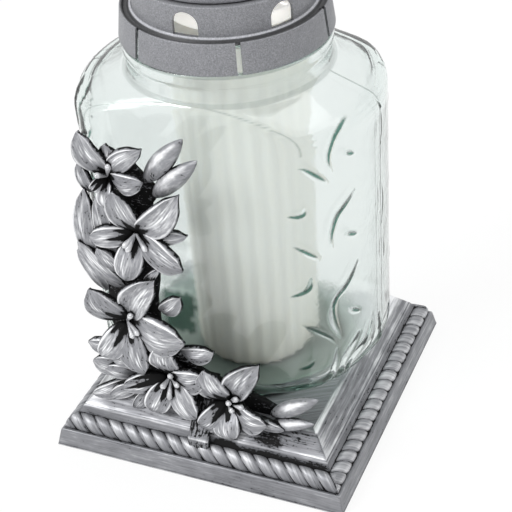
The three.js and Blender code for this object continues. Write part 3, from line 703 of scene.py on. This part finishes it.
def addBlade(relief, root, tip, halfWidth, foot, rise, fold, wave, sink, seed):
    # lily petal: broad, creased, with a raised line inside its edge, arched from the throat to its tip
    stations, across = 28, 27
    length = dist(root, tip)
    alongX, alongZ = (tip[0] - root[0]) / length, (tip[1] - root[1]) / length
    lean = 0.3 * sin(seed * 2.1)
    sway = 0.07 * length * sin(seed * 1.9)
    rows = []
    for s in range(stations + 1):
        share = 0.012 + 0.98 * s / stations
        swell = sin(pi * share)
        spread = halfWidth * min(sin(pi * share ** 0.92) ** 0.56, 3.8 * (1.012 - share))
        arch = rise * sin(2.35 * share) - sink * (1 - share) ** 2.6
        fade = min(1.0, share * 5) * min(1.0, (1 - share) * 6)
        for k in range(across):
            t = -1 + 2 * k / (across - 1)
            # the raised line inside the edge takes more paint, and is brighter on the side facing up and left
            # as a painted highlight
            lit = min(1.0, max(0.0, t * (0.5 * alongZ + 0.85 * alongX) * 1.6))
            rim = bell(abs(t), 0.85, 0.06) * (0.3 + 0.7 * lit)
            rib = bell(t, lean * 0.3, 0.09) * max(0.0, 1 - 1.6 * share)
            crease = 2.2 * fold * (0.5 - abs(t)) * swell ** 0.5
            vein = 0.1 * cos(t * pi * 8 + seed) * (1 - abs(t)) * swell
            ruffle = wave * sin(share * 11 + seed * 1.7 + (2.0 if t > 0 else 0.0)) * t * t
            edge = -1.2 * max(0.0, (abs(t) - 0.94) / 0.06)
            lift = (0.7 * rim + 0.35 * rib + vein + ruffle + edge) * fade + crease + 0.3 * t * t
            aside = spread * t + sway * swell
            point = (root[0] + alongX * length * share - alongZ * aside, garland["faceY"] - arch - lift,
                     root[1] + alongZ * length * share + alongX * aside)
            spikes = 0.85 + 0.45 * cos(t * pi * 2.6 + seed * 1.3)  # black star round the throat
            star = (foot * (1.3 - 0.8 * abs(t)) * spikes / length - share) / 0.14 + 0.6
            # painted highlight: bright streaks about the middle of the petal
            streak = max(0.0, cos(t * 34 + seed + 1.5 * sin(share * 6 + seed))) ** 1.5
            paintedHighlight = exp(-((share - 0.6) / 0.22) ** 2 - ((t - lean) / 0.34) ** 2) * (0.12 + 0.88 * streak)
            level = (0.43 + 0.8 * rim * fade + 0.2 * rib * fade + 0.8 * paintedHighlight + 0.55 * edge
                     - 1.2 * min(1.0, max(0.0, star)) * (foot > 0) + 0.06 * sin(seed * 2.3))
            rows.append((point, level, garland["wear"], (share * length * mm, t * spread * mm, seed * 0.037)))
    sheet = len(rows)
    for i in range(sheet):  # the back
        (x, y, z), level, wear, grain = rows[i]
        t = -1 + 2 * (i % across) / (across - 1)
        rows.append(((x, y + garland["thickness"] * (1.2 - 0.5 * abs(t) ** 4), z), -0.3, wear, grain))
    faces = ringFaces(stations + 1, across, False)
    faces += [tuple(sheet + i for i in reversed(face)) for face in faces]
    for s in range(stations):
        for k in (0, across - 1):
            a, b = s * across + k, (s + 1) * across + k
            faces.append((a, b, sheet + b, sheet + a) if k else (b, a, sheet + a, sheet + b))
    for k in range(across - 1):
        a = stations * across + k
        faces += [(k + 1, k, sheet + k, sheet + k + 1), (a, a + 1, sheet + a + 1, sheet + a)]
    relief.add(rows, faces)


def addBud(relief, root, tip, halfWidth, seed):
    # closed bud: a spindle of three folded petals
    start = Vector((root[0], garland["faceY"] + 5, root[1]))
    along = Vector((tip[0], garland["faceY"] - 3, tip[1])) - start
    across = Vector((-along.z, 0, along.x)).normalized()
    front = Vector((0, -1, 0))
    stations, corners = 26, 28

    def at(s, turn):
        share = 0.005 + 0.99 * s / stations
        swell = halfWidth * sin(pi * share ** 0.85) ** 0.7
        fold = 0.07 * abs(cos(1.5 * turn + 0.5 * share)) * sin(pi * share) - 0.04
        # painted highlight along the bud's upper left side
        budHighlight = exp(-((turn - 0.95) / 0.36) ** 2 - ((share - 0.55) / 0.28) ** 2)
        reach = swell * (1 + fold)
        point = start + along * share + across * reach * cos(turn) + front * reach * 0.82 * sin(turn)
        level = 0.42 + 1.5 * fold + 0.75 * budHighlight - 0.8 * max(0.0, 1 - share / 0.12)
        level -= 0.6 * max(0.0, -sin(turn))
        grain = (share * along.length * mm, reach * turn * mm * 0.5, seed * 0.37)
        return tuple(point), level, garland["wear"], grain

    relief.addTube(stations, corners, at)


def addRod(relief, start, end, radiusStart, radiusEnd, level, seed):
    # stamen with a rounded end
    start, end = Vector(start), Vector(end)
    along = end - start
    sideA = along.orthogonal().normalized()
    sideB = along.cross(sideA).normalized()
    stations, corners = 10, 10

    def at(s, turn):
        share = s / stations
        radius = radiusStart + (radiusEnd - radiusStart) * share ** 2
        if share > 0.75:
            radius *= sqrt(max(0.02, 1 - ((share - 0.75) / 0.25) ** 2))
        point = start + along * share + (sideA * cos(turn) + sideB * sin(turn)) * radius
        grain = (share * along.length * mm, radius * turn * mm, seed * 0.37)
        return tuple(point), level * (0.4 + 0.6 * share), garland["wear"], grain

    relief.addTube(stations, corners, at)


def addClipArm(relief):
    # arm on the plinth's slope, with its rounded tab hooked over the step
    p = plinth
    half, end, thickness, gap = 5.0, 10.0, 3.0, 0.3
    back = p["step"] + gap
    front = -(back + thickness)
    bend = p["foot"] + p["shoulderRise"]
    quarter = [pi / 2 * i / 12 for i in range(13)]
    stations = [(half * sin(a) + 0.02, end + half * (1 - cos(a)), front, -back) for a in quarter]
    knee = ((-1.4, 0.0), (-0.6, 0.2), (0.4, 1.2))
    stations += [(half, bend + up, front + inset, -back) for up, inset in knee]
    stations += [
        (half, bend + 4, front + 4.4, -(p["step"] - p["shoulderInset"] + gap)),
        (half, p["height"] + 4, front + 11, -(p["platform"] + gap)),
        (half, p["height"] + 16, garland["plateFront"] - 2, garland["plateBack"]),
    ]
    rows = []
    for width, z, yFront, yBack in stations:
        shown = 0.75 if abs(z - bend + 0.6) < 0.1 else 0.05 if z > bend else 0.12
        for x, y in ((-width, yBack), (-width, yFront + 0.5), (-width * 0.88, yFront), (width * 0.88, yFront),
                     (width, yFront + 0.5), (width, yBack)):
            rows.append(((x, y, z), -0.5 if y == yBack else shown, garland["wear"], (z * mm, x * mm, 31.0)))
    relief.add(rows, tubeFaces(len(stations), 6))


def buildGarland():
    g, relief = garland, Relief()
    slab = [((x, y, z), -0.2, g["wear"], (x * mm, z * mm, 33.3))
            for y in (g["plateBack"], g["plateFront"]) for x, z in g["plate"]]
    relief.add(slab, prismFaces(len(g["plate"])))
    for i, (throat, tip, width, foot, rise, fold, wave) in enumerate(g["petals"]):
        addBlade(relief, throat, tip, width, foot, rise, fold, wave, g["throatDepth"], i)
    for i, (root, tip, width) in enumerate(g["leaves"]):
        addBlade(relief, root, tip, width, 0.0, 2.0, 0.6, 0.1, 3.5, 40 + i)
    for i, (root, tip, width) in enumerate(g["buds"]):
        addBud(relief, root, tip, width, 60 + i)
    for i, ((x, z), ends) in enumerate(g["stamens"]):
        for endX, endZ in ends:
            addRod(relief, (x, g["faceY"] + 2.0, z), (endX, g["faceY"] - 4.0, endZ), 0.8, 1.8, 0.8, 70 + i)
        addRod(relief, (x, g["plateFront"], z), (x, g["faceY"] + 3.2, z), 5.0, 5.0, -0.6, 80 + i)
    addClipArm(relief)
    relief.finish("lily_relief", garlandSilver, "lily_garland", "brushed_silver_garland")


buildGarland()
print("garland built")


# Jar
jar = {
    "foot": 28.3,
    "radius": 67.0,
    "flat": 45.0,
    "wallStart": 48.3,
    "wallEnd": 168.3,
    "neckRoot": 182.8,
    "wall": 4.0,
    "floor": 5.0,
    "ridge": 0.08,
    "edge": 2.2,
    "neckEdge": 0.15,
    "steps": (0.65, 4.0),  # between rings, outside and inside
    "pressed": (34.0, 180.0),  # heights between which the mould presses strokes
    "skirtLine": (195.0, 196.8),
    "greens": {"heel": 0.75, "neck": 0.35, "arch": 0.55, "skirt": 0.55, "seam": 0.8},  # how deep each looks
    "plateShade": [(87, 103, -30, -4.5, 0.5), (62, 87, -30, -5.5, 0.95)],  # painted shade of the garland plate seen in the wall: low, high, left, right, depth
}
jarOutside = [  # radius, height
    (38.5, 28.3), (42.5, 28.3), (45.0, 29.6), (48.5, 33.0), (53.0, 36.2), (58.0, 39.2), (61.5, 41.6),
    (64.2, 43.9), (66.0, 46.2), (67.0, 48.8), (67.0, 168.0), (66.7, 170.2), (65.6, 172.5), (63.8, 174.3),
    (61.3, 175.6), (53.0, 178.9), (46.6, 181.4), (44.9, 182.3), (44.1, 183.4), (44.0, 185.0), (44.0, 189.6),
    (44.3, 190.5), (44.75, 191.4), (44.8, 192.4), (44.8, 195.4), (44.3, 196.3), (42.9, 196.7), (42.7, 197.2),
    (42.7, 206.6), (42.4, 207.4), (41.7, 207.8), (40.6, 207.8),
]
jarInside = [
    (40.6, 207.8), (39.9, 207.5), (39.6, 206.8), (39.6, 181.6), (40.2, 180.4), (42.0, 179.3), (58.0, 172.6),
    (61.0, 170.6), (62.6, 168.2), (63.0, 165.5), (63.0, 50.4), (62.4, 48.2), (60.0, 45.4), (46.5, 35.7),
    (43.6, 34.2), (40.5, 33.3),
]


def resample(profile, spacing):
    out = [profile[0]]
    for a, b in zip(profile, profile[1:]):
        steps = max(1, round(dist(a, b) / spacing))
        out += [tuple(p + (q - p) * i / steps for p, q in zip(a, b)) for i in range(1, steps + 1)]
    return out


def flattened(radius, angle, flat, edge):
    # reach of the section at an angle: a circle cut by the front and back flats, its edges rounded
    toFlat = flat / np.maximum(np.abs(np.sin(angle)), 1e-6)
    return -edge * np.log(np.exp(-radius / edge) + np.exp(-toFlat / edge))


# Strokes pressed into the round sides: azimuth in degrees and height in mm of their points
strokes = {
    "height": 0.8,
    "width": 1.15,
    "shares": {"arcs": 1.0, "seams": 0.45, "heel": 1.7},  # of that width
    "backShare": 0.3,
    "bend": 8,
    "arcs": [
        [(-18.1, 174.9), (-24.1, 173.5), (-29.2, 170.5), (-31.7, 165.3), (-32, 160.7), (-30.9, 155.9)],
        [(-19.4, 140.1), (-24.3, 136.6), (-28.9, 132.7), (-31.3, 127), (-32, 122.3), (-31.6, 118.5)],
        [(-18.6, 103.1), (-22.2, 98), (-26, 94.1), (-30.1, 91.2), (-32.1, 86.4), (-31.4, 79.4),
         (-29.2, 70.7)],
        [(-24.1, 160.9), (-19.5, 158.3)],
        [(-24.8, 121.2), (-18.8, 117.9)],
        [(-23.8, 80.5), (-18.1, 75.9)],
        [(-44.1, 161.1), (-40.3, 159.7), (-32.8, 151.5)],
        [(-46.4, 122.2), (-42.6, 120.2), (-37.4, 115.8)],
        [(-45.6, 81.7), (-40, 78), (-34, 71.4), (-31.3, 66.4)],
        [(-41.4, 141.3), (-42.3, 138.7), (-44.6, 137.2), (-47.7, 136.8)],
        [(-40.3, 105.2), (-41.3, 100.9), (-44.6, 97.5), (-48.3, 94.7)],
        [(-40.5, 61.4), (-42.8, 57.9), (-46.6, 55)],
    ],
    "heel": [
        [(-10.1, 62.5), (-13.9, 56.7), (-21, 53.3), (-26.1, 49.3), (-24.2, 36.7)],
        [(-30.8, 62), (-31.3, 55.4), (-33.8, 50.5), (-38.4, 46), (-46, 45)],
        [(-18.8, 63.1), (-24.1, 56.9), (-27.7, 53), (-29.4, 46), (-30, 38)],
        [(-3.6, 62), (-2.6, 51), (-6, 44), (-12, 39)],
        [(-30.5, 90), (-32.5, 84), (-31.4, 77), (-28.4, 68.5)],
    ],
    "heelDeep": 0.5,
    "seams": [
        [(-1.5, 173), (1, 165), (1.4, 156), (0.1, 150.5)],
        [(1.3, 129.5), (2.4, 121.4), (1.6, 115.2), (0.2, 109.9)],
        [(3.2, 97.9), (3, 89.3)],
    ],
}


def smoothLine(points, steps):
    # curve through the points of a stroke
    ends = [points[0]] + list(points) + [points[-1]]
    out = []
    for a, b, c, d in zip(ends, ends[1:], ends[2:], ends[3:]):
        for s in range(steps):
            t = s / steps
            out.append(tuple(0.5 * (2 * q + (r - p) * t + (2 * p - 5 * q + 4 * r - u) * t * t
                                    + (3 * q - p - 3 * r + u) * t ** 3) for p, q, r, u in zip(a, b, c, d)))
    return out + [tuple(points[-1])]


def strokeHeight(angles, z, kind):
    # how high the pressed strokes of a kind stand on one quarter, mirrored onto the others
    across = np.where(angles > radians(6), -angles, angles) * jar["radius"]
    field = np.zeros_like(across)
    width = strokes["width"] * strokes["shares"][kind]
    for arc in strokes[kind]:
        line = smoothLine([(radians(a) * jar["radius"], z) for a, z in arc], strokes["bend"])
        total = sum(dist(p, q) for p, q in zip(line, line[1:]))
        done = 0.0
        for p, q in zip(line, line[1:]):
            length = dist(p, q)
            dx, dz = (q[0] - p[0]) / length, (q[1] - p[1]) / length
            reach = np.clip((across - p[0]) * dx + (z - p[1]) * dz, 0, length)
            away = np.hypot(across - p[0] - dx * reach, z - p[1] - dz * reach)
            taper = np.sin(pi * np.clip((done + reach) / total, 0.04, 0.96)) ** 0.45
            field = np.maximum(field, taper * np.exp(-(away / (width * (0.45 + 0.55 * taper))) ** 2))
            done += length
    return field * np.where(angles > 0, strokes["backShare"], 1.0)


def buildJar():
    j, green = jar, jar["greens"]
    side = np.radians(np.arange(-50, 50.01, 0.34))
    front = np.radians(np.linspace(50, 130, 34)[1:-1])
    angles = np.concatenate([side, front, side + pi, front + pi])
    count, slope = len(angles), np.sin(angles)
    outside, inside = (resample(*pair) for pair in zip((jarOutside, jarInside), j["steps"]))
    pressLow, pressHigh = j["pressed"]
    points, thick = [], []

    def addRing(radius, z, flat, edge):
        points.extend(polar(r, a, z) for r, a in zip(flattened(radius, angles, flat, edge), angles))

    for radius, z in outside:
        below = z < j["neckRoot"] - 0.6
        seam = j["ridge"] * np.clip((z - j["wallStart"]) / 14, 0, 1) * np.clip((j["neckRoot"] - z) / 3, 0, 1)
        reach = np.full(count, radius) + seam * np.exp(-(slope * j["radius"] / 0.6) ** 2)
        heel, neck = z < j["foot"] + 3.4, abs(z - j["neckRoot"]) < 1
        deep = np.full(count, green["heel"] if heel else green["neck"] if neck else 0.0)
        if pressLow < z < pressHigh:
            quarter = np.arcsin(slope)
            arcs, seams, swirl = (strokeHeight(quarter, z, kind) for kind in strokes["shares"])
            lift = np.maximum(arcs, seams)
            deep = deep + np.clip((lift - 0.4) / 0.3, 0, 1)
            deep = deep + strokes["heelDeep"] * np.exp(-((swirl - 0.28) / 0.16) ** 2)
            reach = reach + np.maximum(lift, swirl) * strokes["height"] * min(1.0, (z - pressLow) / 4)
        # painted shade: a darker green patch where the garland plate's shadow and reflection fall in the wall
        for low, high, left, right, dark in j["plateShade"]:
            ragged = right + 1.1 * sin(z * 0.5) + 0.7 * sin(z * 1.3) - 0.12 * (high - z)
            within = np.minimum(ragged - reach * np.cos(angles), reach * np.cos(angles) - left)
            within = np.minimum(within, min(z - low, high - z) + 0.9 * np.sin(angles * 60))
            deep = np.maximum(deep, dark * np.clip(within / 2.6, 0, 1) * (slope < 0))
        if z > j["wallEnd"] - 2 and below:
            crease = (radius - j["flat"] / np.maximum(np.abs(slope), 0.01)) / 0.5
            deep = np.maximum(deep, green["arch"] * np.exp(-crease ** 2))
        if j["skirtLine"][0] < z < j["skirtLine"][1]:
            deep = deep + green["skirt"]
        if z > j["wallEnd"] + 2 and below:
            deep = np.maximum(deep, green["seam"] * np.exp(-(slope * radius / 0.45) ** 2))
        thick += list(deep)
        addRing(reach, z, j["flat"], j["edge"] if below else j["neckEdge"])
    for radius, z in inside:
        below = z < j["neckRoot"] - 3
        addRing(np.full(count, radius), z, j["flat"] - j["wall"], j["edge"] if below else j["neckEdge"])
    last = len(points) - count
    under, floor = len(points), len(points) + 1
    points += [(0, 0, j["foot"] + 1.2), (0, 0, j["foot"] + j["floor"])]
    faces = ringFaces(len(outside) + len(inside), count)
    for start, middle in ((0, under), (last, floor)):
        faces += [(start + k, start + (k + 1) % count, middle) for k in range(count)]
    hazy = [0.0] * (len(outside) * count)
    hazy += [2.0 if z < j["foot"] + 10 else 1.0 for radius, z in inside for k in range(count)] + [0.0, 2.0]
    thick += [0.0] * (len(inside) * count + 2)
    piece = makePiece("pressed_jar", points, faces, jarGlass, "stand", ["glass_jar"],
                      {"inside": hazy, "thick": thick})
    weldMesh(piece.data, 0.01)


buildJar()
print("jar built")


# Cap
cap = {
    "seat": 208.1,
    "skirtFoot": 196.9,
    "skirtRadius": 45.56,
    "skirtTop": 43.9,
    "ledge": 210.4,
    "drum": 39.05,
    "drumTop": 223.6,
    "wall": 1.6,
    "slots": 6,
    "slotWidth": 2.1,
    "windowWidth": 11.0,
    "windowHeight": 10.5,
    "slotCut": (41.3, 47.0),  # radii between which it is cut
    "windowCut": (34.0, 41.0),
    "topBore": 33.0,
    "sides": 192,
}


def radialPrism(section, inner, outer, turn):
    # extrudes an outline in (across, z) along a radius, from inner to outer
    points = [turned(reach, across, z, turn) for reach in (inner, outer) for across, z in section]
    return points, prismFaces(len(section))


def cutAway(piece, points, faces):
    mesh = newMesh("collar_cuts", points, faces)
    editMesh(mesh, faceOutwards)
    knife = addObject("collar_cuts", mesh)
    cut = piece.modifiers.new("cuts", "BOOLEAN")
    cut.operation, cut.object, cut.solver = "DIFFERENCE", knife, "EXACT"
    bpy.context.view_layer.update()
    result = piece.evaluated_get(bpy.context.evaluated_depsgraph_get())
    mesh = bpy.data.meshes.new_from_object(result)
    piece.modifiers.clear()
    piece.data = mesh
    bpy.data.objects.remove(knife)


def buildCollar():
    c = cap
    foot, ledge, seat, rim, top = c["skirtFoot"], c["ledge"], c["seat"], c["skirtRadius"], c["skirtTop"]
    drum, drumTop, inner, bore = c["drum"], c["drumTop"], c["drum"] - c["wall"], c["topBore"]
    atSeat = rim - (rim - top) / (ledge - foot) * (seat - foot)
    section = [
        (rim - 1.1, foot), (rim, foot), (top, ledge - 0.1), (top - 1.1, ledge), (top - 1.6, ledge - 1.3),
        (drum + 1.7, ledge - 1.3), (drum + 1.1, ledge - 0.2), (drum, ledge + 0.4), (drum, drumTop - 0.35),
        (drum - 0.4, drumTop), (bore, drumTop), (bore, drumTop - c["wall"]), (inner, drumTop - c["wall"]),
        (inner, seat), (atSeat - 1.1, seat),
    ]
    points, faces = revolve(softCorners(section, 0.35, closed=True), c["sides"])
    piece = makePiece("cap_ring", points, faces, capPlastic, "cap", ["cap_collar"])
    half = c["slotWidth"] / 2
    slot = [(-half, foot - 1), (half, foot - 1), (half, ledge + 1), (-half, ledge + 1)]
    half = c["windowWidth"] / 2
    sill, spring = ledge + 0.45, ledge + 0.2 + c["windowHeight"] - half
    window = [(-half, sill), (half, sill)]
    window += [(half * cos(a), spring + half * sin(a)) for a in np.linspace(0, pi, 25)]
    cutPoints, cutFaces = [], []
    for i in range(c["slots"]):
        turn = i * 2 * pi / c["slots"]
        for outline, cut, at in ((slot, c["slotCut"], turn), (window, c["windowCut"], turn + pi / 6)):
            more, moreFaces = radialPrism(outline, *cut, at)
            cutFaces += shifted(moreFaces, len(cutPoints))
            cutPoints += more
    cutAway(piece, cutPoints, cutFaces)
    sharpen(piece)


roof = {
    "seat": 223.9,
    "foot": 220.6,
    "radius": 36.2,
    "tier": 5.4,
    "dome": 33.6,
    "rise": 17.0,
    "wall": 1.8,
    "knob": 6.2,
    "neck": 4.2,
    "neckHeight": 2.5,
    "spigot": 32.7,
    "sides": 160,
}


def arc(radius, rise, height, start, end):
    angles = np.radians(np.linspace(start, end, 16))
    return [(radius * cos(a), height + rise * sin(a)) for a in angles]


def buildRoof():
    r = roof
    tierTop = r["seat"] + r["tier"]
    crown = tierTop + r["rise"]
    bore = r["spigot"] - r["wall"]
    dome = arc(r["dome"], r["rise"], tierTop, 3, 72)
    ball = arc(r["knob"], r["knob"], crown + r["neckHeight"] + r["knob"] * 0.9, -48, 86)
    hollow = arc(bore, r["rise"] - r["wall"], tierTop, 0, 88)
    outer = [(r["spigot"], r["foot"]), (r["spigot"], r["seat"]), (r["radius"], r["seat"]),
             (r["radius"], tierTop - 1.0), (r["radius"] - 0.9, tierTop), (r["dome"], tierTop)]
    neck = [(r["knob"] + 2.6, crown - 0.6), (r["neck"] + 0.8, crown + 0.2), (r["neck"], crown + 1.2)]
    profile = hollow[::-1] + [(bore, r["foot"])] + softCorners(outer, 0.4) + dome + neck + ball
    points, faces = revolve([(max(0.02, x), z) for x, z in profile], r["sides"], closed=False)
    sharpen(makePiece("cap_dome", points, faces, capPlastic, "cap", ["cap_roof"]))


buildCollar()
buildRoof()
print("cap built")


# Refill
refill = {
    "centre": (4.0, 2.0),
    "floor": 33.6,
    "height": 180.0,
    "topRadius": 30.4,
    "baseRadius": 27.5,
    "flutes": 24,
    "fluteSteps": 10,
    "depth": 0.7,
    "lidSkirt": 5.0,
    "lidWall": 0.8,
    "lidSides": 128,
    "mouth": 13.0,
    "ribs": 16,
}


def centred(points):
    return [(x + refill["centre"][0], y + refill["centre"][1], z) for x, y, z in points]


def buildCup():
    r = refill
    count, top = r["flutes"] * r["fluteSteps"], r["height"]
    angles = np.arange(count) * 2 * pi / count
    hollows = r["depth"] * (1 - (0.5 + 0.5 * np.cos(angles * r["flutes"])))
    base, spread = r["baseRadius"], r["topRadius"] - r["baseRadius"]
    rows = [(0.0, -2.2), (0.5, -1.2), (1.4, -0.4), (3.0, 0.0)]
    rows += [(h, 0.0) for h in np.linspace(8, top - 11, 20)]
    rings = [(base + spread * h / top + inset - hollows, h) for h, inset in rows]
    neck = r["topRadius"] - r["depth"]
    plain = [(neck + 0.1, top - 8), (neck, top - 6), (neck, top - 0.4), (neck - 0.3, top), (neck - 0.7, top)]
    plain += [(neck - 0.9, top - 0.3)]
    plain += [(r["topRadius"] - 1.6 - 2.9 * (1 - h / top), h) for h in np.linspace(top - 2, 3, 12)]
    plain += [(base - 3.4, 0.9)]
    rings += [(np.full(count, radius), h) for radius, h in plain]
    points = [polar(reach, a, r["floor"] + h) for reaches, h in rings for reach, a in zip(reaches, angles)]
    faces = tubeFaces(len(rings), count)
    makePiece("fluted_cup", centred(points), faces, cupPlastic, "refill", ["refill_cup"])


def buildLid():
    r = refill
    rim, mouth = r["floor"] + r["height"], r["mouth"]
    under, inner = rim + 0.3, r["topRadius"] - r["depth"] + 0.3
    top, outer, foot = under + r["lidWall"], inner + r["lidWall"], rim - r["lidSkirt"]
    section = [(mouth, under), (inner, under), (inner, foot), (outer, foot), (outer, top), (mouth + 2, top),
               (mouth + 1.5, top + 1.4), (mouth, top + 1.4)]
    points, faces = revolve(softCorners(section, 0.3, closed=True), r["lidSides"])
    rib = [(-0.6, -0.2), (0.6, -0.2), (0.45, 0.6), (0.2, 0.7), (-0.2, 0.7), (-0.45, 0.6)]
    rib = [(across, top + up) for across, up in rib]
    for i in range(r["ribs"]):
        more, moreFaces = radialPrism(rib, mouth + 1.2, inner - 0.4, i * 2 * pi / r["ribs"])
        faces += shifted(moreFaces, len(points))
        points += more
    points = centred(points)
    sharpen(makePiece("ribbed_lid", points, faces, lidPlastic, "refill", ["refill_lid"]))


def dressNodes():
    # nodes that keep their solid get a finished material
    dress = {"refill_wax": pouredParaffin(), "refill_wick": braidedCotton(), "wick_sustainer": stampedTin()}
    for node, material in dress.items():
        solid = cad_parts[node]
        solid.data.materials.clear()
        solid.data.materials.append(material)


buildCup()
buildLid()
dressNodes()
print("refill built")


# Studio
studio = {
    "world": 0.82,
    "floorShadow": 0.12,
    "floorHalf": 3000.0,
    "lamps": [  # name, place, aim, size in metres, watts
        ("key", (-1.5, -1.9, 2.3), (0, 0, 0.1), 1.0, 56.0),
        ("top", (0.3, 0.4, 1.6), (0, 0, 0.15), 0.9, 4.0),
    ],
}


def seenAsBackground(add):  # 1 for the camera, and for what glass and metal show of it
    ray = add("LightPath")
    seen = ray.outputs["Is Camera Ray"]
    for kind in ("Is Transmission Ray", "Is Glossy Ray"):
        seen = add("Math", {"operation": "MAXIMUM"}, {0: seen, 1: ray.outputs[kind]})
    return seen


def whiteFloor():
    material, add = newMaterial("whitePaperFloor")
    paper = add("BsdfDiffuse", {"Color": "#f4f4f4"})
    glow = add("Emission", {"Color": "#ffffff", "Strength": 1.0})
    share = add("Math", {"operation": "MULTIPLY", 1: 1 - studio["floorShadow"]}, {0: seenAsBackground(add)})
    return finished(material, Surface=add("MixShader", None, {0: share, 1: paper, 2: glow}))


def buildStudio():
    half = studio["floorHalf"]
    corners = [(-half, -half, 0), (half, -half, 0), (half, half, 0), (-half, half, 0)]
    mesh = newMesh("floor", corners, [(0, 1, 2, 3)])
    mesh.materials.append(whiteFloor())
    floor = addObject("floor", mesh)
    floor.location.z = -0.0003
    world = bpy.data.worlds.new("studio")
    world.use_nodes = True
    world.node_tree.nodes.clear()
    add = partial(addNode, world)
    strength = add("MapRange", {"To Min": studio["world"], "To Max": 1.0}, {"Value": seenAsBackground(add)})
    light = add("Background", {"Color": "#ffffff"}, {"Strength": strength})
    add("OutputWorld", None, {"Surface": light})
    bpy.context.scene.world = world
    for name, place, aim, size, power in studio["lamps"]:
        data = bpy.data.lights.new(name, "AREA")
        data.shape, data.size, data.energy = "SQUARE", size, power
        lamp = addObject(name, data)
        lamp.location = place
        lamp.rotation_euler = (Vector(place) - Vector(aim)).to_track_quat("Z", "Y").to_euler()


buildStudio()
bpy.context.scene.view_settings.view_transform = "Standard"
print("studio set")
